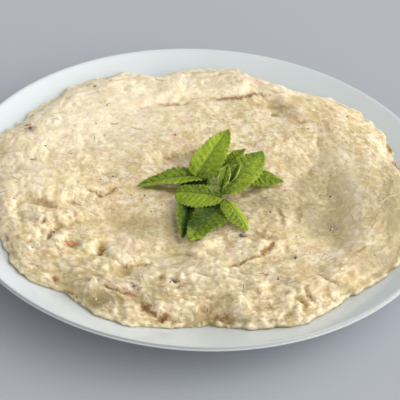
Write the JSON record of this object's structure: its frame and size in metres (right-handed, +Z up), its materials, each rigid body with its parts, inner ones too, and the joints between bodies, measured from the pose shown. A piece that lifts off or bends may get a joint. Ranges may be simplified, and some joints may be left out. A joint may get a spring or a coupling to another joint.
{
  "type": "baba ganoush on a plate",
  "caption": "Thick pale aubergine dip spread in spoon swirls over a shallow round white plate, with a sprig of mint in its middle.",
  "frame": {"origin": "on the table under the middle of the plate", "axes": "+Z up out of the plate, -Y towards the diner, +X to the diner's right"},
  "size_m": [0.2648, 0.2648, 0.0385],
  "materials": {
    "china": "glossy white glaze",
    "dip": "moist cream paste with tan fibres",
    "leaf": "satin green leaf",
    "stem": "satin brown stem"
  },
  "bodies": {
    "root": {"plate": "china", "dip": "dip", "leaf_top": "leaf", "leaf_left": "leaf", "leaf_back": "leaf", "leaf_right": "leaf", "leaf_far_right": "leaf", "leaf_middle": "leaf", "leaf_near_left": "leaf", "leaf_near": "leaf", "leaf_near_right": "leaf", "leaf_under": "leaf", "leaf_bud_left": "leaf", "leaf_bud_right": "leaf", "stem_main": "stem", "stem_back": "stem", "stem_side": "stem"}
  },
  "joints": []
}
